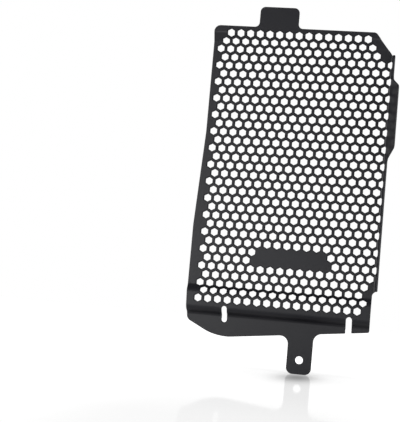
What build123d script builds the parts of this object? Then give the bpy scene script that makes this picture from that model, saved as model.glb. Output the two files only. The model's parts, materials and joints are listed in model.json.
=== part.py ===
"""Radiator guard for the right-hand side of a motorcycle.

One sheet of aluminium, punched with a honeycomb of hexagonal holes and then folded: a raised
strip along the top, a raised ridge along the bottom, a flange with a wide wing down the outer
side, a plain tab that plugs in at the top and a tab that takes one bolt at the bottom.

Millimetres. +Z is up, +X points to the outer side of the motorcycle and -Y forwards, to the
side that the folds rise to. The origin is the centre of the bolt hole on the back face.
"""

import os
from math import cos, floor, hypot, radians, sin, sqrt, tan

from build123d import *

# Sheet and folds. Each fold is one narrow facet, the chord of a bend of this radius at the back face
sheet = 1.5
step_radius = 2.5
side_radius = 2.5

# Steps of the sheet from the lower tab up, each measured square to the panel
panel_step = 2.3
ridge_rise = 4.2
top_rise = 4.5

# Slopes between the steps, in degrees from the panel: the height where the lowest begins, the
# flat of the ridge between its two, and how far below the top edge the last one begins
ridge_low_slope = 45
ridge_low_foot = 31
ridge_flat = 13.5
ridge_high_slope = 35
top_slope = 38
top_step_drop = 12.5

# Outline seen from the front: the first of each group is a distance from the bolt hole
top_edge = 284.5
side_fold = 59
outer_edge_inset = 2.5
inner_edge_high = 97
inner_edge_widening = 4
inner_foot_inset = 2
inner_taper_drop = 94.5
inner_taper_run = 82
inner_corner_drop = 3
lower_edge_at_bolt = 22.2
lower_edge_slope = 6.85
inner_cut_slope = 26.8
top_corner_radius = 5.5
inner_corner_radius = 5
lower_sweep_radius = 40
outer_corner_radius = 1.5

# Corner cut at the top of the outer side, down to the head of the flange
corner_cut_width = 14.5
corner_cut_drop = 18.5
corner_cut_radius = 4

# Plain tab at the top
top_tab_middle = -40.2
top_tab_width = 35
top_tab_height = 19
top_tab_radius = 4.5
top_tab_fillet = 4

# Bolt tab at the bottom
bolt_hole = 6.6
bolt_tab_width = 21.3
bolt_tab_end = 12
bolt_tab_radius = 5.5
bolt_tab_fillet = 7

# Slots across the foot of the ridge, one closed and one open to the lower edge
slot_width = 5.2
slot_rise = 2.5
closed_slot_middle = -66.9
closed_slot_length = 13.7
open_slot_middle = 39.4

# Flange down the outer side, with the wing that stands out from its upper half
flange_lean = 19
flange_length = 7.3
flange_foot_rise = 8
flange_notch = 2.5
flange_corner_share = 0.3
wing_length = 25
wing_drop = 19
wing_head_slant = 11
wing_tip = 55
wing_foot_slant = 6.5
wing_radius = 4
wing_fillet = 4

# Honeycomb of hexagons with a corner up. One column lies on the side fold.
hole_pitch = 11
hole_web = 3.25
lowest_row_rise = 7.7
top_row_margin = 6
edge_margin = 3.6
corner_margin = 12

# Plain field left in the honeycomb
field_middle = -13.9
field_width = 66
field_rise = 12.5
field_height = 14

# Values worked out from the sizes above
panel_y = -panel_step
ridge_y = panel_y - ridge_rise
top_y = panel_y - top_rise
ridge_low_head = ridge_low_foot + (panel_step + ridge_rise) / tan(radians(ridge_low_slope))
ridge_head = ridge_low_head + ridge_flat
ridge_foot_on_panel = ridge_head + ridge_rise / tan(radians(ridge_high_slope))
lowest_row = ridge_low_head + lowest_row_rise
slot_head = ridge_low_head + slot_rise
top_foot = top_edge - top_step_drop
top_head = top_foot + top_rise / tan(radians(top_slope))
top_tab_top = top_edge + top_tab_height
inner_edge_low = inner_edge_high + inner_edge_widening
inner_edge_foot = inner_edge_low - inner_foot_inset
inner_taper_top = top_edge - inner_taper_drop
inner_taper_bottom = inner_taper_top - inner_taper_run
inner_corner = ridge_low_foot - inner_corner_drop
outer_edge_low = side_fold - outer_edge_inset
corner_cut_start = side_fold - corner_cut_width
flange_head = top_edge - corner_cut_drop
flange_foot = ridge_foot_on_panel + flange_foot_rise
flange_corner = flange_length * flange_corner_share
wing_head = flange_head - wing_drop
wing_tip_head = wing_head - wing_head_slant
wing_tip_foot = wing_tip_head - wing_tip
wing_foot = wing_tip_foot - wing_foot_slant
field_low = flange_foot + field_rise
lower_slope = tan(radians(lower_edge_slope))
cut_slope = tan(radians(inner_cut_slope))
side_turn = radians(90 - flange_lean)
side_start = side_fold - side_radius * tan(side_turn / 2)
fold_column = side_start + side_radius * sin(side_turn / 2)
hole_flats = hole_pitch - hole_web
row_pitch = hole_pitch * sqrt(3) / 2
hole_clear = hole_flats / 2 + edge_margin
reach = 2 * (inner_edge_low + side_fold + wing_length)


def lower_edge(x):
    """Height of the slanted lower edge at a distance across the panel."""
    return lower_edge_at_bolt + x * lower_slope


# The cut across the lower inner corner meets the slanted lower edge here
cut_height = inner_corner - lower_edge_at_bolt - inner_edge_foot * cut_slope
sweep_x = cut_height / (cut_slope + lower_slope)

# Runs of the sheet's back face below and above the flat of the panel, as (depth, height)
lower_run = [
    (0, -bolt_tab_end),
    (0, ridge_low_foot),
    (ridge_y, ridge_low_head),
    (ridge_y, ridge_head),
    (panel_y, ridge_foot_on_panel),
]
upper_run = [
    (panel_y, top_foot),
    (top_y, top_head),
    (top_y, top_tab_top),
]

# Corners of the outline with their radii, clockwise from the top tab
tab_left = top_tab_middle - top_tab_width / 2
tab_right = top_tab_middle + top_tab_width / 2
bolt_side = bolt_tab_width / 2
outline_corners = [
    ((tab_left, top_edge), top_tab_fillet),
    ((tab_left, top_tab_top), top_tab_radius),
    ((tab_right, top_tab_top), top_tab_radius),
    ((tab_right, top_edge), top_tab_fillet),
    ((corner_cut_start, top_edge), corner_cut_radius),
    ((side_fold, flange_head), 0),
    ((reach, flange_head), 0),
    ((reach, flange_foot), 0),
    ((outer_edge_low, flange_foot), flange_notch),
    ((outer_edge_low, lower_edge(outer_edge_low)), outer_corner_radius),
    ((bolt_side, lower_edge(bolt_side)), bolt_tab_fillet),
    ((bolt_side, -bolt_tab_end), bolt_tab_radius),
    ((-bolt_side, -bolt_tab_end), bolt_tab_radius),
    ((-bolt_side, lower_edge(-bolt_side)), bolt_tab_fillet),
    ((sweep_x, lower_edge(sweep_x)), lower_sweep_radius),
    ((-inner_edge_foot, inner_corner), inner_corner_radius),
    ((-inner_edge_low, ridge_foot_on_panel), 0),
    ((-inner_edge_low, inner_taper_bottom), 0),
    ((-inner_edge_high, inner_taper_top), 0),
    ((-inner_edge_high, top_edge), top_corner_radius),
]

# Wing outline on the flange, as (distance from the fold, height), with its radii. It runs past
# both ends of the flange, where the outline seen from the front trims it.
blank_foot = flange_foot - flange_notch
blank_head = top_edge
wing_corners = [
    ((-side_fold, blank_foot), 0),
    ((flange_length, blank_foot), 0),
    ((flange_length, wing_foot), wing_fillet),
    ((wing_length, wing_tip_foot), wing_radius),
    ((wing_length, wing_tip_head), wing_radius),
    ((flange_length, wing_head), wing_fillet),
    ((flange_length, blank_head), 0),
    ((-side_fold, blank_head), 0),
]

# Directions on the flange: out along it from the fold, and square to it
flange_out = Vector(sin(radians(flange_lean)), -cos(radians(flange_lean)), 0)
flange_plane = Plane(
    origin=(side_fold, panel_y, 0),
    x_dir=flange_out,
    z_dir=flange_out.cross(Vector(0, 0, 1)),
)


def eased(points, radius):
    """Run with each corner replaced by the facet of its fold."""
    run = [Vector(*points[0])]
    for before, corner, after in zip(points, points[1:], points[2:]):
        into = (Vector(*corner) - Vector(*before)).normalized()
        out = (Vector(*after) - Vector(*corner)).normalized()
        trim = radius * tan(radians(into.get_angle(out)) / 2)
        run += [Vector(*corner) - into * trim, Vector(*corner) + out * trim]
    return run + [Vector(*points[-1])]


def shifted(run, amount):
    """Run moved sideways by an even amount, to the left of its direction, with sharp corners."""
    ways = [(end - start).normalized() for start, end in zip(run, run[1:])]
    sides = [Vector(-way.Y, way.X) for way in ways]
    meetings = zip(run, [sides[0], *sides], [*sides, sides[-1]])
    return [spot + (one + two) * (amount / (1 + one.dot(two))) for spot, one, two in meetings]


def folded_section(corners, radius, amount):
    """Section of the sheet along a run of its back face, with its gauge laid to the left."""
    run = eased(corners, radius)
    return Polyline(*run, *reversed(shifted(run, amount)), close=True)


# Run of the sheet's back face that carries the rows of holes, from the lowest row to the top edge
honeycomb_corners = [
    (ridge_y, lowest_row),
    (ridge_y, ridge_head),
    (panel_y, ridge_foot_on_panel),
    (panel_y, top_foot),
    (top_y, top_head),
    (top_y, top_edge),
]
honeycomb_run = Polyline(*eased(honeycomb_corners, step_radius))
row_count = 1 + floor((honeycomb_run.length - top_row_margin) / row_pitch)


def row_plane(row):
    """Plane square to the sheet at the height of a row, with its X along the row."""
    climb = row * row_pitch
    spot = honeycomb_run.position_at(climb, position_mode=PositionMode.LENGTH)
    slope = honeycomb_run.tangent_at(climb, position_mode=PositionMode.LENGTH)
    return Plane(origin=(0, spot.X, spot.Y), x_dir=(1, 0, 0), z_dir=(0, -slope.Y, slope.X))


def fold_plane(z):
    """Plane square to the middle of the side fold, with its X across the fold."""
    across = (Vector(1, 0, 0) + flange_out).normalized()
    return Plane(origin=(side_fold, panel_y, z), x_dir=across, z_dir=across.cross(Vector(0, 0, 1)))


def outer_column(row):
    """Place of a row's outermost hole: on the side fold, or half a pitch inside it."""
    return fold_column - hole_pitch / 2 * (row % 2)


def row_columns(row):
    """Places of a row's other holes across the sheet, from the outer side inwards."""
    last = outer_column(row)
    count = floor((last + inner_edge_high - hole_clear) / hole_pitch)
    return [last - hole_pitch * step for step in range(1, count + 1)]


def hole_fits(x, z):
    """Whether a hole there keeps its margin from the outline and stays off the plain field."""
    cut_run = Vector(side_fold - corner_cut_start, flange_head - top_edge).normalized()
    corner_cut_gap = (corner_cut_start - x) * -cut_run.Y + (top_edge - z) * cut_run.X
    beside_flange = flange_foot + hole_clear <= z <= flange_head - hole_clear
    outer_limit = fold_column if beside_flange else outer_edge_low - hole_clear
    in_field = abs(x - field_middle) < field_width / 2 and 0 < z - field_low < field_height
    in_corner = hypot(x + inner_edge_high, top_edge - z) < corner_margin
    return x <= outer_limit and corner_cut_gap >= hole_clear and not in_field and not in_corner


def row_holes(row):
    """Centres of a row's holes on the panel, as (across, height)."""
    z = row_plane(row).origin.Z
    return [(x, z) for x in row_columns(row) if hole_fits(x, z)]


# Rows that lie whole on the flat of the panel beside the flange, the rows above and below them,
# and the heights of the holes in the outermost columns
heights = [row_plane(row).origin.Z for row in range(row_count)]
low_rows = [row for row, z in enumerate(heights) if z - row_pitch / 2 < flange_foot]
high_rows = [row for row, z in enumerate(heights) if z + row_pitch / 2 > flange_head]
field_rows = range(len(low_rows), row_count - len(high_rows))
split_low = heights[field_rows[0]] - row_pitch / 2
split_high = heights[field_rows[-1]] + row_pitch / 2
fold_holes = [z for z in heights[0::2] if hole_fits(outer_column(0), z)]
side_holes = [z for z in heights[1::2] if hole_fits(outer_column(1), z)]


def row_sketch(row):
    """Holes of one row, on the plane square to the sheet where the row lies."""
    with BuildSketch(row_plane(row)) as holes:
        with Locations(*[(x, 0) for x, _ in row_holes(row)]):
            RegularPolygon(hole_flats / 2, 6, major_radius=False, rotation=30)
    return holes.sketch


def strip_section(corners):
    """Section of the sheet folded along a run of its back face."""
    with BuildSketch(Plane.YZ.offset(-inner_edge_low)) as section:
        with BuildLine():
            folded_section(corners, step_radius, sheet)
        make_face()
    return section.sketch


# Outline of the whole guard seen from the front
with BuildSketch(Plane.XZ) as front_outline:
    with BuildLine():
        FilletPolyline(
            *[point for point, _ in outline_corners],
            radius=[radius for _, radius in outline_corners],
            close=True,
        )
    make_face()

# Side flange: the folded edge as a section, cut to the wing's outline, with its free ends rounded
with BuildPart() as side_flange:
    with BuildSketch(Plane.XY.offset(blank_foot)) as fold_section:
        with BuildLine():
            fold_tip = Vector(side_fold, panel_y) + flange_out * wing_length
            fold_corners = [(side_start - sheet, panel_y), (side_fold, panel_y), (fold_tip.X, fold_tip.Y)]
            folded_section(fold_corners, side_radius, -sheet)
        make_face()
    extrude(amount=blank_head - blank_foot)
    with BuildSketch(flange_plane) as wing_outline:
        with BuildLine():
            FilletPolyline(
                *[point for point, _ in wing_corners],
                radius=[radius for _, radius in wing_corners],
                close=True,
            )
        make_face()
    extrude(amount=reach, both=True, mode=Mode.INTERSECT)
    extrude(front_outline.sketch, amount=reach, both=True, mode=Mode.INTERSECT)
    flange_normal = Axis(flange_plane.origin, flange_plane.z_dir)
    fillet(side_flange.edges().filter_by(flange_normal), flange_corner)

# Strip below the flat of the panel: the ridge, the lower edge with its slots, and the bolt tab
with BuildPart() as lower_strip:
    extrude(strip_section([*lower_run, (panel_y, split_low)]), amount=inner_edge_low + side_start)
    extrude(front_outline.sketch, amount=reach, both=True, mode=Mode.INTERSECT)
    with BuildSketch(Plane.XZ) as openings:
        Circle(bolt_hole / 2)
        with Locations((closed_slot_middle, slot_head - closed_slot_length / 2)):
            SlotOverall(closed_slot_length, slot_width, rotation=90)
        with Locations((open_slot_middle, lower_edge(open_slot_middle))):
            SlotOverall(2 * (slot_head - lower_edge(open_slot_middle)), slot_width, rotation=90)
    extrude(amount=reach, both=True, mode=Mode.SUBTRACT)
    for row in low_rows:
        extrude(row_sketch(row), amount=2 * sheet, both=True, mode=Mode.SUBTRACT)

# Strip above it: the step to the top edge, and the plain tab
with BuildPart() as upper_strip:
    extrude(strip_section([(panel_y, split_high), *upper_run]), amount=inner_edge_low + side_start)
    extrude(front_outline.sketch, amount=reach, both=True, mode=Mode.INTERSECT)
    for row in high_rows:
        extrude(row_sketch(row), amount=2 * sheet, both=True, mode=Mode.SUBTRACT)

# Flat of the panel, one face with the honeycomb as its inner edges
with BuildSketch(Plane.XZ.offset(-panel_y)) as field:
    with BuildLine():
        Polyline(
            (-inner_edge_low, split_low),
            (side_start, split_low),
            (side_start, split_high),
            (-inner_edge_high, split_high),
            (-inner_edge_high, inner_taper_top),
            (-inner_edge_low, inner_taper_bottom),
            close=True,
        )
    make_face()
cell = RegularPolygon(hole_flats / 2, 6, major_radius=False, rotation=30, mode=Mode.PRIVATE)
cell_edges = [Pos(x, z) * cell.wire() for row in field_rows for x, z in row_holes(row)]
honeycomb = Plane.XZ.offset(-panel_y) * Face(field.sketch_local.face().outer_wire(), cell_edges)

# The whole sheet
with BuildPart() as guard_panel:
    extrude(honeycomb, amount=sheet, clean=False)
    add([lower_strip.part, upper_strip.part, side_flange.part], clean=False)
    # Outermost columns: one on the side fold, square to its facet, and one half a pitch inside it
    fold_planes = [fold_plane(z) for z in fold_holes]
    side_planes = [Plane((outer_column(1), panel_y, z), (1, 0, 0), (0, -1, 0)) for z in side_holes]
    with BuildSketch(*fold_planes, *side_planes):
        RegularPolygon(hole_flats / 2, 6, major_radius=False, rotation=30)
    extrude(amount=2 * side_radius, both=True, mode=Mode.SUBTRACT)

guard_panel.part.label = "guard_panel"
os.makedirs("parts", exist_ok=True)
export_step(guard_panel.part, "parts/guard_panel.step")
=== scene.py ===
"""Radiator guard of a motorcycle: one punched and folded sheet under satin black powder coat.

The sheet is laid out flat as it is punched, with its honeycomb, tabs, slots and wing, given its
gauge and its rounded edges, and then folded along its bend lines. Metres, in the frame of the
packed part: +Z up, +X to the outer side, -Y to the front, with the origin at the bolt hole on the
back face.
"""

import json
from math import pi, radians, sin, sqrt, tan

import bmesh
import bpy
from mathutils import Matrix, Vector


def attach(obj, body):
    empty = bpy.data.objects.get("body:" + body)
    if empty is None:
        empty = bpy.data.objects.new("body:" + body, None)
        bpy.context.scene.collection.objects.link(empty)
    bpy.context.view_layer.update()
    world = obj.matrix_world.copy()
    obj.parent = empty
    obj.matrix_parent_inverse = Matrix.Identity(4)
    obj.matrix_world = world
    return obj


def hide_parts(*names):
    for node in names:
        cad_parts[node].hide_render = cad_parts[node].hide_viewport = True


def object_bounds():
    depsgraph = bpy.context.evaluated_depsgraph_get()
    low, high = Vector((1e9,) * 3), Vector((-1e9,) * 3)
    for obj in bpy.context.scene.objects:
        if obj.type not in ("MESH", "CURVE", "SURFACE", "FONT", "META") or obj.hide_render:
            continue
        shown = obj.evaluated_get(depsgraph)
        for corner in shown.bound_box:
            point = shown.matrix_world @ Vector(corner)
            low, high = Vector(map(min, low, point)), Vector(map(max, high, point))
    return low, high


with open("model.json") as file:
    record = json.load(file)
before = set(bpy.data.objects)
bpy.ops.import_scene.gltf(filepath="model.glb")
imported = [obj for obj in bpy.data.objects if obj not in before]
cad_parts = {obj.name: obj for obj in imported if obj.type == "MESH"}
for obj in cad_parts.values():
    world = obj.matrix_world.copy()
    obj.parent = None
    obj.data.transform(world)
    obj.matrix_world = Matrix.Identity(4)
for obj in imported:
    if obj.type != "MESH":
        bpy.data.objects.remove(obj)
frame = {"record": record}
cad_low, cad_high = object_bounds()

bl_info = {
    "name": "Radiator guard",
    "version": (1, 0, 0),
    "blender": (4, 5, 0),
    "location": "3D View > Sidebar > Guard",
    "description": "Models a punched and folded radiator guard and the studio that shows it",
    "category": "Object",
}

MM = 0.001

# The packed bolt hole gives its own width and, by its depth, the gauge of the sheet
BOLT_HOLE = next(m["dims"] for m in frame["record"]["mounts"] if m["name"] == "bolt_hole")


def length(name, description, millimetres):
    """A size that a user may change, given in millimetres."""
    return bpy.props.FloatProperty(
        name=name,
        description=description,
        default=millimetres * MM,
        unit="LENGTH",
        subtype="DISTANCE",
        precision=5,
    )


def position(name, description, millimetres):
    """A place that a user may change, given in millimetres."""
    return bpy.props.FloatVectorProperty(
        name=name,
        description=description,
        default=[part * MM for part in millimetres],
        size=3,
        unit="LENGTH",
        subtype="TRANSLATION",
    )


def angle(name, description, degrees):
    """An angle that a user may change, given in degrees."""
    return bpy.props.FloatProperty(
        name=name,
        description=description,
        default=radians(degrees),
        unit="ROTATION",
        subtype="ANGLE",
    )


def share(name, description, part):
    """A part of a whole that a user may change, from 0 to 1."""
    return bpy.props.FloatProperty(
        name=name, description=description, default=part, min=0, max=1, subtype="FACTOR"
    )


def linear(code):
    """Linear colour of an sRGB hex value such as #303034."""
    parts = [int(code[i : i + 2], 16) / 255 for i in (1, 3, 5)]
    return tuple(c / 12.92 if c <= 0.04045 else ((c + 0.055) / 1.055) ** 2.4 for c in parts)


def colour(name, description, code):
    """A colour that a user may change, given as an sRGB hex value."""
    return bpy.props.FloatVectorProperty(
        name=name,
        description=description,
        default=linear(code),
        size=3,
        min=0,
        max=1,
        subtype="COLOR",
    )


class GuardSheet(bpy.types.PropertyGroup):
    """Gauge of the sheet and the heights and slopes of its folds."""

    gauge: length("Gauge", "Thickness of the sheet", BOLT_HOLE["length_mm"])
    edge: length("Edge", "Rounding of the cut edges under the coat", 0.25)
    bend: length("Bend radius", "Radius of the bends at the back face", 2.5)
    ridge_bend: length("Ridge bend radius", "Radius of the softer bends beside the ridge", 4.5)
    panel_step: length("Panel step", "Depth of the panel in front of the bolt tab", 2.3)
    ridge_rise: length("Ridge rise", "Height of the lower ridge over the panel", 4.2)
    top_rise: length("Top rise", "Height of the top strip over the panel", 4.5)
    ridge_low_slope: angle("Ridge lower slope", "Slope under the ridge", 57)
    ridge_high_slope: angle("Ridge upper slope", "Slope over the ridge", 43)
    top_slope: angle("Top slope", "Slope under the top strip", 30)
    ridge_low_foot: length("Ridge foot", "Height where the slope under the ridge begins", 32.9)
    ridge_head: length("Ridge head", "Height where the slope over the ridge begins", 51.3)
    top_foot: length("Top foot", "Height where the slope under the top strip begins", 271)
    side_fold: length("Side fold", "Place of the side fold across the panel", 59.7)
    flange_lean: angle("Flange lean", "Outward lean of the side flange", 15.7)


class GuardOutline(bpy.types.PropertyGroup):
    """Outline of the folded guard, seen from the front."""

    top_edge: length("Top edge", "Height of the top edge", 284.5)
    inner_high: length("Inner edge, high", "Distance of the inner edge at the top", 97)
    inner_low: length("Inner edge, low", "Distance of the inner edge lower down", -cad_low.x / MM)
    inner_foot: length("Inner edge, foot", "Distance of the inner edge at its foot", 99.5)
    taper_top: length("Taper top", "Height where the inner edge begins to widen", 190)
    taper_bottom: length("Taper bottom", "Height where the inner edge is widest", 108)
    inner_corner: length("Inner corner", "Height of the foot of the inner edge", 26.6)
    outer_low: length("Outer edge, low", "Distance of the outer edge under the flange", 56.9)
    lower_edge: length("Lower edge", "Height of the lower edge above the bolt hole", 21.5)
    lower_slope: angle("Lower slope", "Slope of the lower edge", 6.85)
    cut_slope: angle("Corner slope", "Slope of the lower inner corner", 26.8)
    corner_cut: length("Corner cut", "Place where the cut at the top corner begins", 43.7)
    corner_cut_end: length("Corner cut end", "Place where that cut meets the flange", 59)
    top_tab_middle: length("Top tab place", "Middle of the top tab", -40.6)
    top_tab_width: length("Top tab width", "Width of the top tab", 34.2)
    top_tab_height: length("Top tab height", "Height of the top tab over the top edge", 18.1)
    bolt_tab_width: length("Bolt tab width", "Width of the bolt tab", 21.3)
    bolt_tab_end: length("Bolt tab end", "Reach of the bolt tab below its hole", -cad_low.z / MM)
    bolt_hole: length("Bolt hole", "Diameter of the bolt hole", 2 * BOLT_HOLE["r_mm"])
    slot_width: length("Open slot width", "Width of the slot that is open below", 5)
    slot_head: length("Slot head", "Height of the head of the slots", 40)
    closed_slot: length("Closed slot", "Middle of the closed slot", -66.9)
    closed_slot_width: length("Closed slot width", "Width of the closed slot", 4.5)
    closed_slot_length: length("Closed slot length", "Length of the closed slot", 13.7)
    open_slot: length("Open slot", "Middle of the slot that is open below", 39.4)
    flange_length: length("Flange length", "Reach of the flange from the side fold", 5.8)
    flange_foot: length("Flange foot", "Height of the flange's lower end", 63.1)
    flange_head: length("Flange head", "Height of the flange's upper end", 266)
    wing_length: length("Wing length", "Reach of the wing from the side fold", 24.6)
    wing_foot: length("Wing foot", "Height where the wing leaves the flange", 175.5)
    wing_tip_foot: length("Wing tip foot", "Lower corner of the wing", 183.4)
    wing_tip_head: length("Wing tip head", "Upper corner of the wing", 236)
    wing_head: length("Wing head", "Height where the wing meets the flange again", 244.8)


class GuardCorners(bpy.types.PropertyGroup):
    """Radii of the corners of the outline."""

    top_tab: length("Top tab", "Corners of the top tab", 4.5)
    top_tab_root: length("Top tab root", "Inner corners beside the top tab", 4)
    top_inner: length("Top inner corner", "Corner at the top of the inner edge", 5.5)
    cut: length("Corner cut", "Corner where the cut at the top begins", 4)
    cut_root: length("Corner cut root", "Inner corner where the cut meets the flange", 0.6)
    flange_head: length("Flange head", "Upper corner of the flange", 2.2)
    flange_foot: length("Flange foot", "Lower corner of the flange", 1.2)
    flange_notch: length("Flange notch", "Inner corner under the flange", 4)
    wing: length("Wing", "Corners of the wing and the inner corners at its roots", 4)
    outer_foot: length("Outer foot", "Corner at the foot of the outer edge", 1.5)
    slot_mouth: length("Slot mouth", "Corners at the mouth of the open slot", 0.5)
    bolt_tab: length("Bolt tab", "Corners of the bolt tab", 5.5)
    bolt_tab_root: length("Bolt tab root", "Inner corners beside the bolt tab", 7)
    lower_sweep: length("Lower sweep", "Sweep from the lower edge into its inner corner", 40)
    inner_foot: length("Inner foot", "Corner at the foot of the inner edge", 5)
    taper: length("Taper", "Soft turns of the inner edge", 30)


class GuardHoneycomb(bpy.types.PropertyGroup):
    """Pattern of hexagonal holes in the flat sheet."""

    pitch: length("Pitch", "Distance from hole to hole", 8.5)
    flats: length("Hole", "Width of a hole across its flats", 5.87)
    middle: length("Pattern middle", "Place of column 0 across the sheet", -22.4)
    height: length("Pattern height", "Height of the middle row on the flat of the panel", 176.5)


class GuardCoat(bpy.types.PropertyGroup):
    """Satin black powder coat."""

    black: colour("Coat", "Colour of the coat", "#141419")
    grey: colour("Thin coat", "Colour where the powder lies thinner", "#1b1b21")
    mottle: length("Mottle", "Width of the slow changes of tone", 45)
    peel: length("Orange peel", "Width of the waves in the coat", 2.2)
    peel_height: length("Orange peel height", "Height of the waves in the coat", 0.08)
    grain: length("Grain", "Width of the fine grain in the coat", 0.7)
    grain_height: length("Grain height", "Height of the fine grain in the coat", 0.04)
    smooth: share("Smooth", "Roughness where the grain is smoothest", 0.33)
    rough: share("Rough", "Roughness where the grain is roughest", 0.44)
    # Painted shade: less shine at the rims of the holes darkens the webs between them
    rim_shine: share("Rim shine", "Specular level at the rims of the holes", 0.1)


class GuardStudio(bpy.types.PropertyGroup):
    """White studio floor, soft light and camera."""

    floor: colour("Floor", "Colour of the floor and the backdrop", "#f4f4f4")
    floor_radius: length("Floor radius", "Reach of the floor", 7000)
    backdrop_width: length("Backdrop width", "Width and height of the backdrop", 2900)
    backdrop_place: position("Backdrop place", "Middle of the backdrop", (-1080, 5500, 1430))
    # Painted shade: a soft dark patch drawn into the floor around the tab's foot
    shade: share("Shade", "Depth of the shade around the tab's foot", 0.62)
    shade_place: position("Shade place", "Middle of the shade on the floor", (3, -52, 0))
    shade_width: length("Shade width", "Reach of the shade across", 12)
    shade_depth: length("Shade depth", "Reach of the shade in depth", 46)
    mirror: share("Mirror", "Strength of the mirror image beside the guard", 0.21)
    mirror_far: share("Mirror, far", "Strength of the mirror image where it fades out", 0.05)
    mirror_fade: length("Mirror fade", "Distance at which the mirror image begins to fade", 280)
    mirror_end: length("Mirror end", "Distance at which the mirror image has faded", 460)
    room: share("Room light", "Strength of the light from all round", 0.15)
    aim: position("Aim", "Point that the lamps face", (-20, 0, 140))
    lens: bpy.props.FloatProperty(
        name="Lens", description="Focal length over the camera's frame", default=96.2, unit="CAMERA"
    )
    camera: position("Camera", "Place of the camera", (68.4, -967, 36.7))


def deselect():
    """Leaves nothing selected, so that the next operator acts on one object alone."""
    if bpy.context.object and bpy.context.object.mode != "OBJECT":
        bpy.ops.object.mode_set(mode="OBJECT")
    bpy.ops.object.select_all(action="DESELECT")


def activate(piece):
    """Makes one object the only one that operators act on."""
    deselect()
    piece.select_set(True)
    bpy.context.view_layer.objects.active = piece


def pick(piece, kind, test):
    """Selects in edit mode the vertices, edges or faces that pass a test."""
    bpy.ops.mesh.select_mode(type={"verts": "VERT", "edges": "EDGE", "faces": "FACE"}[kind])
    bpy.ops.mesh.select_all(action="DESELECT")
    form = bmesh.from_edit_mesh(piece.data)
    for item in getattr(form, kind):
        item.select_set(bool(test(item)))
    form.select_flush_mode()
    bmesh.update_edit_mesh(piece.data)


def join(name, pieces):
    """One object from several, with each place in the mesh."""
    deselect()
    for piece in pieces:
        piece.select_set(True)
    bpy.context.view_layer.objects.active = pieces[0]
    bpy.ops.object.join()
    bpy.ops.object.transform_apply(location=True, rotation=True, scale=True)
    pieces[0].name = name
    pieces[0].data.name = name
    return pieces[0]


def trim(turn, radius):
    """Distance from a sharp corner to the start of its round."""
    return radius * tan(turn / 2)


def saving(turn, radius):
    """Length that a round saves over a sharp corner."""
    return 2 * trim(turn, radius) - radius * turn


def gain(rise, slope, radius):
    """Length that a step with two bends adds over the height seen from the front."""
    return rise / sin(slope) - rise / tan(slope) - 2 * saving(slope, radius)


class Layout:
    """Places on the flat sheet, worked out from the sizes of the folded guard."""

    def __init__(self, sheet):
        self.depth = -sheet.panel_step
        low, high, top = sheet.ridge_low_slope, sheet.ridge_high_slope, sheet.top_slope
        soft, tight = sheet.ridge_bend, sheet.bend
        low_rise = sheet.panel_step + sheet.ridge_rise
        ridge_low_head = sheet.ridge_low_foot + low_rise / tan(low)
        top_head = sheet.top_foot + sheet.top_rise / tan(top)
        side_turn = radians(90) - sheet.flange_lean
        self.panel_foot = sheet.ridge_head + sheet.ridge_rise / tan(high)
        self.side_fold = sheet.side_fold
        # What the flat sheet gains over the height seen from the front
        self.top_gain = gain(sheet.top_rise, top, tight)
        self.ridge_gain = gain(sheet.ridge_rise, high, soft)
        self.tab_gain = self.ridge_gain + gain(low_rise, low, soft)
        self.side_saving = saving(side_turn, tight)
        # Bends as (place on the flat sheet where they begin, going up or out, turn, radius)
        self.upper_bends = [
            (sheet.top_foot - trim(top, tight), top, tight),
            (top_head + self.top_gain + trim(top, tight) - tight * top, -top, tight),
        ]
        self.lower_bends = [
            (self.on_tab(sheet.ridge_low_foot) - trim(low, soft), -low, soft),
            (self.on_ridge(ridge_low_head) + trim(low, soft) - soft * low, low, soft),
            (self.on_ridge(sheet.ridge_head) - trim(high, soft), high, soft),
            (self.panel_foot + trim(high, soft) - soft * high, -high, soft),
        ]
        self.side_bends = [(sheet.side_fold - trim(side_turn, tight), -side_turn, tight)]

    def on_top(self, z):
        """Height on the flat sheet of a place on the top strip."""
        return z + self.top_gain

    def on_ridge(self, z):
        """Height on the flat sheet of a place on the ridge."""
        return z - self.ridge_gain

    def on_tab(self, z):
        """Height on the flat sheet of a place below the ridge."""
        return z - self.tab_gain

    def on_flange(self, distance):
        """Place across the flat sheet of a distance out along the flange."""
        return self.side_fold + distance - self.side_saving


# A round end stops just short of a half circle, so that its two corners don't meet
ROUND_END = 0.998
# Band along the outline, the closed slot and the bolt hole, which keeps their rounding clean
BAND = 0.5 * MM


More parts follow.
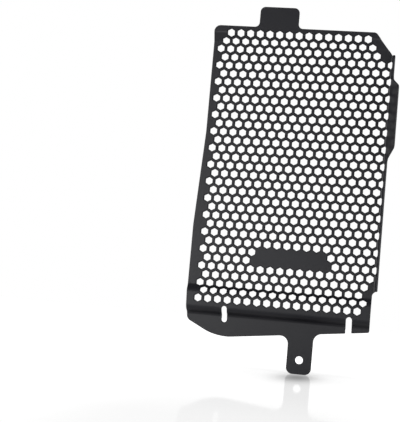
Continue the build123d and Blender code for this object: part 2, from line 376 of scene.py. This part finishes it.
def outline_corners(layout, outline, radii):
    """Corners of the flat sheet as (across, height, radius), clockwise from the top tab."""
    tab_left = outline.top_tab_middle - outline.top_tab_width / 2
    tab_right = outline.top_tab_middle + outline.top_tab_width / 2
    bolt_side = outline.bolt_tab_width / 2
    slot_left = outline.open_slot - outline.slot_width / 2
    slot_right = outline.open_slot + outline.slot_width / 2
    slot_end = ROUND_END * outline.slot_width / 2
    slope = tan(outline.lower_slope)
    cut = tan(outline.cut_slope)

    def lower(x):
        return layout.on_tab(outline.lower_edge + x * slope)

    # Where the lower edge meets the slope of the inner corner
    cut_height = outline.inner_corner - outline.lower_edge - outline.inner_foot * cut
    sweep = cut_height / (cut + slope)
    top = layout.on_top(outline.top_edge)
    tab_top = layout.on_top(outline.top_edge + outline.top_tab_height)
    tab_end = layout.on_tab(-outline.bolt_tab_end)
    free_edge = layout.on_flange(outline.flange_length)
    wing_edge = layout.on_flange(outline.wing_length)
    slot_head = layout.on_ridge(outline.slot_head)
    return [
        (tab_left, top, radii.top_tab_root),
        (tab_left, tab_top, radii.top_tab),
        (tab_right, tab_top, radii.top_tab),
        (tab_right, top, radii.top_tab_root),
        (outline.corner_cut, top, radii.cut),
        (outline.corner_cut_end, outline.flange_head, radii.cut_root),
        (free_edge, outline.flange_head, radii.flange_head),
        (free_edge, outline.wing_head, radii.wing),
        (wing_edge, outline.wing_tip_head, radii.wing),
        (wing_edge, outline.wing_tip_foot, radii.wing),
        (free_edge, outline.wing_foot, radii.wing),
        (free_edge, outline.flange_foot, radii.flange_foot),
        (outline.outer_low, outline.flange_foot, radii.flange_notch),
        (outline.outer_low, lower(outline.outer_low), radii.outer_foot),
        (slot_right, lower(slot_right), radii.slot_mouth),
        (slot_right, slot_head, slot_end),
        (slot_left, slot_head, slot_end),
        (slot_left, lower(slot_left), radii.slot_mouth),
        (bolt_side, lower(bolt_side), radii.bolt_tab_root),
        (bolt_side, tab_end, radii.bolt_tab),
        (-bolt_side, tab_end, radii.bolt_tab),
        (-bolt_side, lower(-bolt_side), radii.bolt_tab_root),
        (sweep, lower(sweep), radii.lower_sweep),
        (-outline.inner_foot, layout.on_tab(outline.inner_corner), radii.inner_foot),
        (-outline.inner_low, layout.panel_foot, 0),
        (-outline.inner_low, outline.taper_bottom, radii.taper),
        (-outline.inner_high, outline.taper_top, radii.taper),
        (-outline.inner_high, top, radii.top_inner),
    ]


def slot_corners(layout, outline):
    """Corners of the closed slot with its band around it."""
    half = outline.closed_slot_width / 2 + BAND
    left, right = outline.closed_slot - half, outline.closed_slot + half
    head = layout.on_ridge(outline.slot_head) + BAND
    foot = layout.on_tab(outline.slot_head - outline.closed_slot_length) - BAND
    end = ROUND_END * half
    return [(left, foot, end), (left, head, end), (right, head, end), (right, foot, end)]


# A rounded corner has up to this many steps, none of them much shorter than the least step
ARC_STEPS = 8
LEAST_STEP = 0.45 * MM
# Points nearer than this are the same
SAME_PLACE = 0.01 * MM


def trace(name, corners, depth):
    """A flat face on the back of the panel, traced corner by corner, each corner rounded.

    Each corner is (across, height, radius). Tight corners get fewer steps, so that no step is
    shorter than the rounding of the sheet's edge.
    """
    points = [Vector((x, depth, z)) for x, z, _ in corners]
    # A plane merged to one point, which is drawn out from corner to corner
    deselect()
    bpy.ops.mesh.primitive_plane_add(size=MM, location=(0, 0, 0), enter_editmode=True)
    piece = bpy.context.object
    piece.name = name
    bpy.ops.mesh.select_mode(type="VERT")
    bpy.ops.mesh.select_all(action="SELECT")
    bpy.ops.mesh.merge(type="CENTER")
    bpy.ops.transform.translate(value=points[0])
    for start, end in zip(points, points[1:]):
        bpy.ops.mesh.extrude_vertices_move(TRANSFORM_OT_translate={"value": end - start})
    bpy.ops.mesh.select_all(action="SELECT")
    bpy.ops.mesh.edge_face_add()
    for i, (_, _, radius) in enumerate(corners):
        if not radius:
            continue
        corner, after = points[i], points[(i + 1) % len(points)]
        turn = (corner - points[i - 1]).angle(after - corner)
        pick(piece, "verts", lambda v: (v.co - corner).length < SAME_PLACE)
        bpy.ops.mesh.bevel(
            affect="VERTICES",
            offset_type="OFFSET",
            offset=trim(turn, radius),
            segments=max(1, min(ARC_STEPS, round(radius * turn / LEAST_STEP))),
        )
    return piece


def inset_all(width):
    """Insets the flat face in edit mode, all round."""
    bpy.ops.mesh.select_mode(type="FACE")
    bpy.ops.mesh.select_all(action="SELECT")
    bpy.ops.mesh.inset(thickness=width, use_boundary=True, use_even_offset=True)


def even_sided(name, sides, radius, place):
    """A flat face with even sides, upright in the plane of the panel, with a corner up."""
    deselect()
    bpy.ops.mesh.primitive_circle_add(
        vertices=sides, radius=radius, fill_type="NGON", location=place, rotation=(pi / 2, 0, 0)
    )
    piece = bpy.context.object
    piece.name = name
    bpy.ops.object.transform_apply(location=True, rotation=True, scale=True)
    return piece


# Attribute that is 1 at the rim of a punched hole and 0 away from it; the coat shines less there,
# as painted shade on the webs
HOLE_RIM = "hole_rim"


def honeycomb_cell(name, comb, depth):
    """One whole cell of the honeycomb."""
    return even_sided(name, 6, comb.pitch / sqrt(3), (0, depth, 0))


def punched_cell(comb, depth):
    """One cell of the honeycomb, inset to the outline of its hole."""
    cell = honeycomb_cell("punched_cell", comb, depth)
    bpy.ops.object.mode_set(mode="EDIT")
    inset_all((comb.pitch - comb.flats) / 2)
    bpy.ops.object.mode_set(mode="OBJECT")
    rim = cell.data.attributes.new(HOLE_RIM, "FLOAT", "POINT")
    between = (comb.pitch + comb.flats) / 2 / sqrt(3)
    for vertex, item in zip(cell.data.vertices, rim.data):
        item.value = Vector((vertex.co.x, vertex.co.z)).length < between
    return cell


def copies(cell, place, step, count):
    """A line of copies of a cell, from a place, by an even step."""
    activate(cell)
    bpy.ops.object.duplicate()
    line = bpy.context.object
    line.location = place
    line_up = line.modifiers.new("line", "ARRAY")
    line_up.use_relative_offset = False
    line_up.use_constant_offset = True
    line_up.constant_offset_displace = step
    line_up.count = count
    bpy.ops.object.modifier_apply(modifier="line")
    return line


# Rows count from the top; the pattern's height is that of the middle row
ROW_COUNT = 33
MIDDLE_ROW = 15
# The rows widen to this one beside the corner cut, and end one hole short under the flange
LAST_WIDENING_ROW = 3
LAST_FLANGE_ROW = 29
# Columns left plain in the rows of the blank field; even rows lie half a column aside
PLAIN_COLUMNS = {27: (-2, 4), 28: (-2.5, 4.5)}


def row_ends(row):
    """First and last column of a row of the honeycomb."""
    if row <= LAST_WIDENING_ROW:
        return -6.5 - row / 2, 6.5 + row / 2
    first, last = (-7.5, 9.5) if row % 2 == 0 else (-8, 9)
    return first, last if row <= LAST_FLANGE_ROW else last - 1


def honeycomb(comb, layout):
    """All cells of the pattern, each whole, still with the faces of their holes."""
    row_pitch = comb.pitch * sqrt(3) / 2
    across = Vector((comb.pitch, 0, 0))
    plain = honeycomb_cell("plain_cell", comb, layout.depth)
    punched = punched_cell(comb, layout.depth)
    lines = []
    for row in range(1, ROW_COUNT + 1):
        height = comb.height + (MIDDLE_ROW - row) * row_pitch
        first, last = row_ends(row)
        stretches = [(punched, first, last)]
        if row in PLAIN_COLUMNS:
            start, end = PLAIN_COLUMNS[row]
            stretches = [(punched, first, start - 1), (plain, start, end), (punched, end + 1, last)]
        for cell, begin, stop in stretches:
            place = Vector((comb.middle + begin * comb.pitch, 0, height))
            lines.append(copies(cell, place, across, round(stop - begin) + 1))
    for cell in (plain, punched):
        bpy.data.objects.remove(cell)
    return lines


BOLT_HOLE_SIDES = 40
# Points of the flat pieces that are joined where they lie this near to each other
WELD = 0.08 * MM
# A six-sided face up to this many times a hole's size is a hole, and a larger one a plain cell
HOLE_SLACK = 1.3


def flat_sheet(scene, layout):
    """The flat punched sheet, still without its gauge, facing the front."""
    outline, comb = scene.guard_outline, scene.guard_honeycomb
    blank = trace("blank", outline_corners(layout, outline, scene.guard_corners), layout.depth)
    inset_all(BAND)
    # A seam marks the outer edge, and only the band along it stays
    pick(blank, "edges", lambda e: e.is_boundary)
    bpy.ops.mesh.mark_seam()
    pick(blank, "faces", lambda f: len(f.verts) > 4)
    bpy.ops.mesh.delete(type="ONLY_FACE")
    slot = trace("slot", slot_corners(layout, outline), layout.depth)
    inset_all(BAND)
    bolt_place = (0, layout.depth, layout.on_tab(0))
    bolt_radius = outline.bolt_hole / 2
    bolt_ring = even_sided("bolt_ring", BOLT_HOLE_SIDES, bolt_radius + BAND, bolt_place)
    bpy.ops.object.mode_set(mode="EDIT")
    inset_all(BAND)
    guard = join("guard_panel_sheet", [blank, slot, bolt_ring, *honeycomb(comb, layout)])

    # Plain sheet between them, and then the holes
    bpy.ops.object.mode_set(mode="EDIT")
    bpy.ops.mesh.select_all(action="SELECT")
    bpy.ops.mesh.remove_doubles(threshold=WELD)
    pick(guard, "edges", lambda e: e.is_boundary and not e.seam)
    bpy.ops.mesh.fill(use_beauty=True)
    largest = HOLE_SLACK * sqrt(3) / 2 * comb.flats**2

    def is_hole(face):
        """Tells the holes of the honeycomb, the slot and the bolt from the sheet."""
        sides = len(face.verts)
        return sides > 6 or (sides == 6 and face.calc_area() < largest)

    pick(guard, "faces", is_hole)
    bpy.ops.mesh.delete(type="ONLY_FACE")
    bpy.ops.mesh.select_mode(type="EDGE")
    bpy.ops.mesh.select_all(action="SELECT")
    bpy.ops.mesh.mark_seam(clear=True)
    bpy.ops.mesh.normals_make_consistent(inside=False)
    if sum(face.normal.y for face in bmesh.from_edit_mesh(guard.data).faces) > 0:
        bpy.ops.mesh.flip_normals()
    bpy.ops.object.mode_set(mode="OBJECT")
    return guard


# Edges that turn by more than this are cut edges, and are rounded
CUT_EDGE = radians(65)
CUT_EDGE_STEPS = 2


def thicken(guard, sheet):
    """Gives the flat sheet its gauge towards the front, and its rounded edges under the coat."""
    gauge = guard.modifiers.new("gauge", "SOLIDIFY")
    gauge.thickness = sheet.gauge
    gauge.offset = 1
    bpy.ops.object.modifier_apply(modifier="gauge")
    edge = guard.modifiers.new("edge", "BEVEL")
    edge.width = sheet.edge
    edge.segments = CUT_EDGE_STEPS
    edge.limit_method = "ANGLE"
    edge.angle_limit = CUT_EDGE
    edge.use_clamp_overlap = False
    edge.loop_slide = False
    bpy.ops.object.modifier_apply(modifier="edge")


# Directions out from the panel in which the sheet is folded
UP, DOWN, OUT = Vector((0, 0, 1)), Vector((0, 0, -1)), Vector((1, 0, 0))
# Flat steps of a bend, more of them where the turn is large
BEND_STEPS = 5
SIDE_BEND_STEPS = 8
# Points this near to a bend line count as on it
ON_LINE = 0.05 * MM
# Points of the bend lines' cuts that are joined where they lie this near to each other
CUT_WELD = 0.03 * MM
# A positive angle turns the other way where Blender runs without a window
WINDOWLESS_TURN = -1
# Faces that meet at less than this share their shading
SMOOTH = radians(40)


def on_sheet(direction, line, depth):
    """A point of the flat sheet on a bend line that lies square to a direction."""
    return Vector([abs(part) for part in direction]) * line + Vector((0, depth, 0))


def cut_lines(bends, depth, direction, steps):
    """Cuts the flat sheet along the lines on which its bends turn, as (line, turn)."""
    lines = []
    for start, turn, radius in bends:
        step = radius * abs(turn) / steps
        # The first and the last line of a bend take half of the others' turn
        for i in range(steps + 1):
            part = 0.5 if i in (0, steps) else 1
            lines.append((start + i * step, part * turn / steps))
    for line, _ in lines:
        bpy.ops.mesh.select_all(action="SELECT")
        bpy.ops.mesh.bisect(
            plane_co=on_sheet(direction, line, depth),
            plane_no=direction,
            use_fill=False,
            clear_inner=False,
            clear_outer=False,
            threshold=ON_LINE,
        )
    return lines


def fold(piece, flat, lines, depth, direction, axis):
    """Turns what lies beyond each line, the outermost line first.

    The points on a line take half of its turn, which keeps the gauge even on both sides.
    """
    for line, turn in sorted(lines, key=lambda item: -item[0] * sum(direction)):
        pivot = on_sheet(direction, line, depth)
        for start in (-ON_LINE, ON_LINE):
            pick(piece, "verts", lambda v: (flat[v.index] - pivot).dot(direction) > start)
            bpy.ops.transform.rotate(
                value=WINDOWLESS_TURN * turn / 2,
                orient_axis=axis,
                orient_type="GLOBAL",
                center_override=pivot,
            )


def fold_sheet(guard, layout):
    """Cuts all bend lines while the sheet is flat, and then folds it along them."""
    depth = layout.depth
    bpy.ops.object.mode_set(mode="EDIT")
    folds = [
        (cut_lines(layout.upper_bends, depth, UP, BEND_STEPS), UP, "X"),
        (cut_lines(layout.lower_bends, depth, DOWN, BEND_STEPS), DOWN, "X"),
        (cut_lines(layout.side_bends, depth, OUT, SIDE_BEND_STEPS), OUT, "Z"),
    ]
    bpy.ops.mesh.select_all(action="SELECT")
    bpy.ops.mesh.remove_doubles(threshold=CUT_WELD)
    bpy.ops.object.mode_set(mode="OBJECT")
    flat = [vertex.co.copy() for vertex in guard.data.vertices]
    bpy.ops.object.mode_set(mode="EDIT")
    for lines, direction, axis in folds:
        fold(guard, flat, lines, depth, direction, axis)
    bpy.ops.object.mode_set(mode="OBJECT")
    bpy.ops.object.shade_smooth_by_angle(angle=SMOOTH)
    even = guard.modifiers.new("even", "WEIGHTED_NORMAL")
    even.keep_sharp = True
    bpy.ops.object.modifier_apply(modifier="even")


def empty_material(name):
    """A new material, and its node tree with nothing in it."""
    material = bpy.data.materials.new(name)
    material.use_nodes = True
    material.node_tree.nodes.clear()
    return material, material.node_tree


def add_node(tree, kind, settings=None, links=None):
    """Adds a node with its settings, and its inputs from values or from other nodes' outputs."""
    node = tree.nodes.new(kind)
    for key, value in (settings or {}).items():
        setattr(node, key, value)
    for key, value in (links or {}).items():
        if isinstance(value, bpy.types.NodeSocket):
            tree.links.new(value, node.inputs[key])
        else:
            node.inputs[key].default_value = value
    return node


# Share of the fine grain in the changes of tone
GRAIN_IN_TONE = 0.35
# How far the waves and the grain tilt the light
PEEL_STRENGTH = 0.5
GRAIN_STRENGTH = 0.6
# Specular level of a smooth surface, and the IOR of polyester resin
FULL_SHINE = 0.5
POLYESTER_IOR = 1.5


def powder_coat(coat):
    """Satin black polyester powder, baked on aluminium.

    The powder flows out to faint waves like orange peel with a fine grain on top, so highlights
    are broad and soft, and the tone changes slowly where the coat is thinner.
    """
    material, tree = empty_material("satin_black_powder_coat")
    place = add_node(tree, "ShaderNodeTexCoord").outputs["Object"]
    mottle = add_node(
        tree,
        "ShaderNodeTexNoise",
        links={"Vector": place, "Scale": 1 / coat.mottle, "Detail": 3, "Roughness": 0.55},
    )
    # Peel and grain are drawn somewhat coarser than the real ones, so that they show
    peel = add_node(
        tree,
        "ShaderNodeTexNoise",
        links={"Vector": place, "Scale": 1 / coat.peel, "Detail": 2, "Roughness": 0.5},
    )
    grain = add_node(
        tree,
        "ShaderNodeTexNoise",
        links={"Vector": place, "Scale": 1 / coat.grain, "Detail": 2, "Roughness": 0.6},
    )
    grain_tone = add_node(
        tree,
        "ShaderNodeMath",
        {"operation": "MULTIPLY_ADD"},
        {0: grain.outputs["Fac"], 1: GRAIN_IN_TONE, 2: -GRAIN_IN_TONE / 2},
    )
    thinness = add_node(
        tree,
        "ShaderNodeMath",
        {"operation": "ADD", "use_clamp": True},
        {0: mottle.outputs["Fac"], 1: grain_tone.outputs["Value"]},
    )
    tone = add_node(
        tree,
        "ShaderNodeMix",
        {"data_type": "RGBA"},
        {"Factor": thinness.outputs["Value"], "A": (*coat.black, 1), "B": (*coat.grey, 1)},
    )
    satin = add_node(
        tree,
        "ShaderNodeMapRange",
        links={"Value": grain.outputs["Fac"], "To Min": coat.smooth, "To Max": coat.rough},
    )
    waves = add_node(
        tree,
        "ShaderNodeBump",
        links={
            "Height": peel.outputs["Fac"],
            "Strength": PEEL_STRENGTH,
            "Distance": coat.peel_height,
        },
    )
    tooth = add_node(
        tree,
        "ShaderNodeBump",
        links={
            "Height": grain.outputs["Fac"],
            "Strength": GRAIN_STRENGTH,
            "Distance": coat.grain_height,
            "Normal": waves.outputs["Normal"],
        },
    )
    # The webs are darker in the photograph than the plain sheet, so the punched rims shine less
    # Painted shade: the rims get less shine, which darkens the webs between the holes
    rim = add_node(tree, "ShaderNodeAttribute", {"attribute_name": HOLE_RIM})
    shine = add_node(
        tree,
        "ShaderNodeMapRange",
        links={"Value": rim.outputs["Fac"], "To Min": FULL_SHINE, "To Max": coat.rim_shine},
    )
    shader = add_node(
        tree,
        "ShaderNodeBsdfPrincipled",
        links={
            "Specular IOR Level": shine.outputs["Result"],
            "Base Color": tone.outputs["Result"],
            "Roughness": satin.outputs["Result"],
            "Normal": tooth.outputs["Normal"],
            "IOR": POLYESTER_IOR,
        },
    )
    add_node(tree, "ShaderNodeOutputMaterial", links={"Surface": shader.outputs["BSDF"]})
    return material


class GUARD_OT_sheet(bpy.types.Operator):
    """Models the punched and folded sheet of the guard."""

    bl_idname = "guard.sheet"
    bl_label = "Guard sheet"

    def execute(self, context):
        scene = context.scene
        layout = Layout(scene.guard_sheet)
        guard = flat_sheet(scene, layout)
        thicken(guard, scene.guard_sheet)
        fold_sheet(guard, layout)
        guard.data.materials.clear()
        guard.data.materials.append(powder_coat(scene.guard_coat))
        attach(guard, "root")
        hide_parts("guard_panel")
        return {"FINISHED"}


WHITE = (1, 1, 1, 1)


def seen_white(tree):
    """1 for the rays by which the camera, a mirror or a glass sees the white studio, else 0."""
    path = add_node(tree, "ShaderNodeLightPath")
    mirrored = add_node(
        tree,
        "ShaderNodeMath",
        {"operation": "MAXIMUM"},
        {0: path.outputs["Is Glossy Ray"], 1: path.outputs["Is Transmission Ray"]},
    )
    seen = add_node(
        tree,
        "ShaderNodeMath",
        {"operation": "MAXIMUM"},
        {0: path.outputs["Is Camera Ray"], 1: mirrored.outputs["Value"]},
    )
    return seen.outputs["Value"]


def backdrop_material(studio):
    """White paper wall behind the guard, evenly lit."""
    material, tree = empty_material("white_backdrop_paper")
    paper = add_node(tree, "ShaderNodeBsdfDiffuse", links={"Color": (*studio.floor, 1)})
    white = add_node(tree, "ShaderNodeEmission", links={"Color": WHITE, "Strength": 1})
    shown = add_node(
        tree,
        "ShaderNodeMixShader",
        links={"Fac": seen_white(tree), 1: paper.outputs["BSDF"], 2: white.outputs["Emission"]},
    )
    add_node(tree, "ShaderNodeOutputMaterial", links={"Surface": shown.outputs["Shader"]})
    return material


ACRYLIC_ROUGHNESS = 0.04
# How far a view has to graze the floor, from 0 straight down to 1 along it, before its mirror
# image shows and in full, and before the floor turns white and in full
MIRROR_GRAZE = (0.75, 0.92)
WHITE_GRAZE = (0.55, 0.85)
# Strength of the white from straight above
WHITE_FROM_ABOVE = 0.2
# Beside the guard the lamps light the paper, and the white over it grows from this strength at
# the near distance to 1 at the far one
WHITE_NEAR_GUARD = 0.57
WHITE_NEAR = 33.3 * MM
WHITE_FAR = 200 * MM


def floor_material(studio):
    """White studio floor under clear acrylic: white at a low view, with a faint mirror image.

    Seen from straight above it is plain pale paper, so that the undersides of the folds stay
    dark. A painted shade around the foot of the tab darkens the floor's colour and its white.
    """
    material, tree = empty_material("white_acrylic_floor")
    place = add_node(tree, "ShaderNodeTexCoord").outputs["Object"]

    # Painted shade around the foot of the tab, as a bell curve that is longer in depth
    centred = add_node(
        tree, "ShaderNodeVectorMath", {"operation": "SUBTRACT"}, {0: place, 1: studio.shade_place}
    )
    scaled = add_node(
        tree,
        "ShaderNodeVectorMath",
        {"operation": "MULTIPLY"},
        {0: centred.outputs["Vector"], 1: (1 / studio.shade_width, 1 / studio.shade_depth, 0)},
    )
    square = add_node(
        tree,
        "ShaderNodeVectorMath",
        {"operation": "DOT_PRODUCT"},
        {0: scaled.outputs["Vector"], 1: scaled.outputs["Vector"]},
    )
    fall = add_node(
        tree, "ShaderNodeMath", {"operation": "MULTIPLY"}, {0: square.outputs["Value"], 1: -0.5}
    )
    bell = add_node(tree, "ShaderNodeMath", {"operation": "EXPONENT"}, {0: fall.outputs["Value"]})
    # Painted shade: 1 away from the tab and less at its foot, for the floor's colour and its white
    lit = add_node(
        tree,
        "ShaderNodeMath",
        {"operation": "MULTIPLY_ADD"},
        {0: bell.outputs["Value"], 1: -studio.shade, 2: 1},
    )
    tint = add_node(
        tree,
        "ShaderNodeVectorMath",
        {"operation": "SCALE"},
        {0: studio.floor, "Scale": lit.outputs["Value"]},
    )

    # Paper under acrylic, which mirrors the guard at a low view and less the farther away it is
    paper = add_node(tree, "ShaderNodeBsdfDiffuse", links={"Color": tint.outputs["Vector"]})
    acrylic = add_node(
        tree, "ShaderNodeBsdfGlossy", links={"Color": WHITE, "Roughness": ACRYLIC_ROUGHNESS}
    )
    away = add_node(tree, "ShaderNodeVectorMath", {"operation": "LENGTH"}, {0: place})
    mirror = add_node(
        tree,
        "ShaderNodeMapRange",
        links={
            "Value": away.outputs["Value"],
            "From Min": studio.mirror_fade,
            "From Max": studio.mirror_end,
            "To Min": studio.mirror,
            "To Max": studio.mirror_far,
        },
    )
    graze = add_node(tree, "ShaderNodeLayerWeight", links={"Blend": 0.5}).outputs["Facing"]
    mirror_start, mirror_full = MIRROR_GRAZE
    grazing = add_node(
        tree,
        "ShaderNodeMapRange",
        links={"Value": graze, "From Min": mirror_start, "From Max": mirror_full},
    )
    mirror_share = add_node(
        tree,
        "ShaderNodeMath",
        {"operation": "MULTIPLY"},
        {0: mirror.outputs["Result"], 1: grazing.outputs["Result"]},
    )
    surface = add_node(
        tree,
        "ShaderNodeMixShader",
        links={
            "Fac": mirror_share.outputs["Value"],
            1: paper.outputs["BSDF"],
            2: acrylic.outputs["BSDF"],
        },
    )

    # White at a low view; farther from the lamps the paper gives less, so it is lifted more
    white_start, white_full = WHITE_GRAZE
    low_view = add_node(
        tree,
        "ShaderNodeMapRange",
        links={
            "Value": graze,
            "From Min": white_start,
            "From Max": white_full,
            "To Min": WHITE_FROM_ABOVE,
        },
    )
    # In front of the guard, where its mirror image lies, only the distance across counts
    beside = add_node(
        tree,
        "ShaderNodeVectorMath",
        {"operation": "MAXIMUM"},
        {0: place, 1: (-studio.floor_radius, 0, 0)},
    )
    aside = add_node(
        tree, "ShaderNodeVectorMath", {"operation": "LENGTH"}, {0: beside.outputs["Vector"]}
    )
    lift = add_node(
        tree,
        "ShaderNodeMapRange",
        {"interpolation_type": "SMOOTHSTEP"},
        {
            "Value": aside.outputs["Value"],
            "From Min": WHITE_NEAR,
            "From Max": WHITE_FAR,
            "To Min": WHITE_NEAR_GUARD,
        },
    )
    strength = seen_white(tree)
    # The painted shade darkens the white as well as the paper
    for part in (low_view.outputs["Result"], lift.outputs["Result"], lit.outputs["Value"]):
        strength = add_node(
            tree, "ShaderNodeMath", {"operation": "MULTIPLY"}, {0: strength, 1: part}
        ).outputs["Value"]
    white = add_node(tree, "ShaderNodeEmission", links={"Color": WHITE, "Strength": strength})
    both = add_node(
        tree,
        "ShaderNodeAddShader",
        links={0: surface.outputs["Shader"], 1: white.outputs["Emission"]},
    )
    add_node(tree, "ShaderNodeOutputMaterial", links={"Surface": both.outputs["Shader"]})
    return material


# Soft boxes: name, place, width and height, and power in watts
SOFT_BOXES = (
    ("key", (-0.82, -1.8, 0.2), (1.2, 0.7), 5.6),
    ("fill_left", (-1.45, -1.0, 0.3), (1.0, 1.0), 16),
    ("fill_right", (1.5, -1.0, 0.3), (1.0, 1.0), 16),
)


def soft_light(name, place, target, size, power):
    """A soft box, of a width and a height, that faces a point."""
    data = bpy.data.lights.new(name, "AREA")
    data.shape = "RECTANGLE"
    data.size, data.size_y = size
    data.energy = power
    lamp = bpy.data.objects.new(name, data)
    bpy.context.scene.collection.objects.link(lamp)
    lamp.location = place
    lamp.rotation_mode = "QUATERNION"
    lamp.rotation_quaternion = (Vector(target) - Vector(place)).to_track_quat("-Z", "Y")


def room_light(strength):
    """A world that lights evenly from all round."""
    world = bpy.data.worlds.new("studio")
    world.use_nodes = True
    tree = world.node_tree
    tree.nodes.clear()
    room = add_node(tree, "ShaderNodeBackground", links={"Color": WHITE, "Strength": strength})
    add_node(tree, "ShaderNodeOutputWorld", links={"Surface": room.outputs["Background"]})
    return world


# Width of the camera's frame, in millimetres as cameras have it
CAMERA_FRAME = 36
# Directions to the right of the picture and into it, fitted to the rows of holes in the photograph
CAMERA_RIGHT = Vector((0.983, 0.160, 0.090))
CAMERA_VIEW = Vector((-0.168, 0.982, 0.085))


def studio_camera(studio):
    """The camera in its place, with its axes squared to each other."""
    data = bpy.data.cameras.new("camera")
    data.sensor_width = CAMERA_FRAME
    data.lens = studio.lens
    camera = bpy.data.objects.new("camera", data)
    bpy.context.scene.collection.objects.link(camera)
    right = CAMERA_RIGHT.normalized()
    up = right.cross(CAMERA_VIEW).normalized()
    view = up.cross(right).normalized()
    turn = Matrix((right, up, -view)).transposed()
    camera.matrix_world = Matrix.Translation(studio.camera) @ turn.to_4x4()
    return camera


FLOOR_SIDES = 64
# The floor lies this far under the tab's end, so that the two don't flicker
FLOOR_GAP = 0.02 * MM


class GUARD_OT_studio(bpy.types.Operator):
    """Sets up the white floor, the soft lights and the camera."""

    bl_idname = "guard.studio"
    bl_label = "Studio"

    def execute(self, context):
        scene = context.scene
        studio = scene.guard_studio
        scene.view_settings.view_transform = "Standard"

        deselect()
        bpy.ops.mesh.primitive_circle_add(
            vertices=FLOOR_SIDES,
            radius=studio.floor_radius,
            fill_type="NGON",
            location=(0, 0, -scene.guard_outline.bolt_tab_end - FLOOR_GAP),
        )
        floor = bpy.context.object
        floor.name = "floor"
        floor.data.materials.append(floor_material(studio))
        deselect()
        # Far back and no wider than the picture, so that the wing doesn't mirror it
        bpy.ops.mesh.primitive_plane_add(
            size=studio.backdrop_width, location=studio.backdrop_place, rotation=(pi / 2, 0, 0)
        )
        backdrop = bpy.context.object
        backdrop.name = "backdrop"
        backdrop.data.materials.append(backdrop_material(studio))

        scene.world = room_light(studio.room)
        for name, place, size, power in SOFT_BOXES:
            soft_light(name, place, studio.aim, size, power)
        scene.camera = studio_camera(studio)
        return {"FINISHED"}


GROUPS = {
    "guard_sheet": GuardSheet,
    "guard_outline": GuardOutline,
    "guard_corners": GuardCorners,
    "guard_honeycomb": GuardHoneycomb,
    "guard_coat": GuardCoat,
    "guard_studio": GuardStudio,
}


class GUARD_PT_panel(bpy.types.Panel):
    """Lists the guard's operators and sizes."""

    bl_idname = "GUARD_PT_panel"
    bl_label = "Radiator guard"
    bl_space_type = "VIEW_3D"
    bl_region_type = "UI"
    bl_category = "Guard"

    def draw(self, context):
        for operator in (GUARD_OT_sheet, GUARD_OT_studio):
            self.layout.operator(operator.bl_idname)
        for group, kind in GROUPS.items():
            box = self.layout.box()
            box.label(text=kind.__doc__)
            for size in kind.__annotations__:
                box.prop(getattr(context.scene, group), size)


CLASSES = (*GROUPS.values(), GUARD_OT_sheet, GUARD_OT_studio, GUARD_PT_panel)


def register():
    """Adds the classes to Blender, and their sizes to the scene."""
    for cls in CLASSES:
        bpy.utils.register_class(cls)
    for name, group in GROUPS.items():
        setattr(bpy.types.Scene, name, bpy.props.PointerProperty(type=group))


def unregister():
    """Takes the sizes and the classes away again."""
    for name in GROUPS:
        delattr(bpy.types.Scene, name)
    for cls in reversed(CLASSES):
        bpy.utils.unregister_class(cls)


def main():
    """Adds the sizes to the scene, models the guard and sets up its studio."""
    register()
    bpy.ops.guard.sheet()
    bpy.ops.guard.studio()


if __name__ == "__main__":
    main()
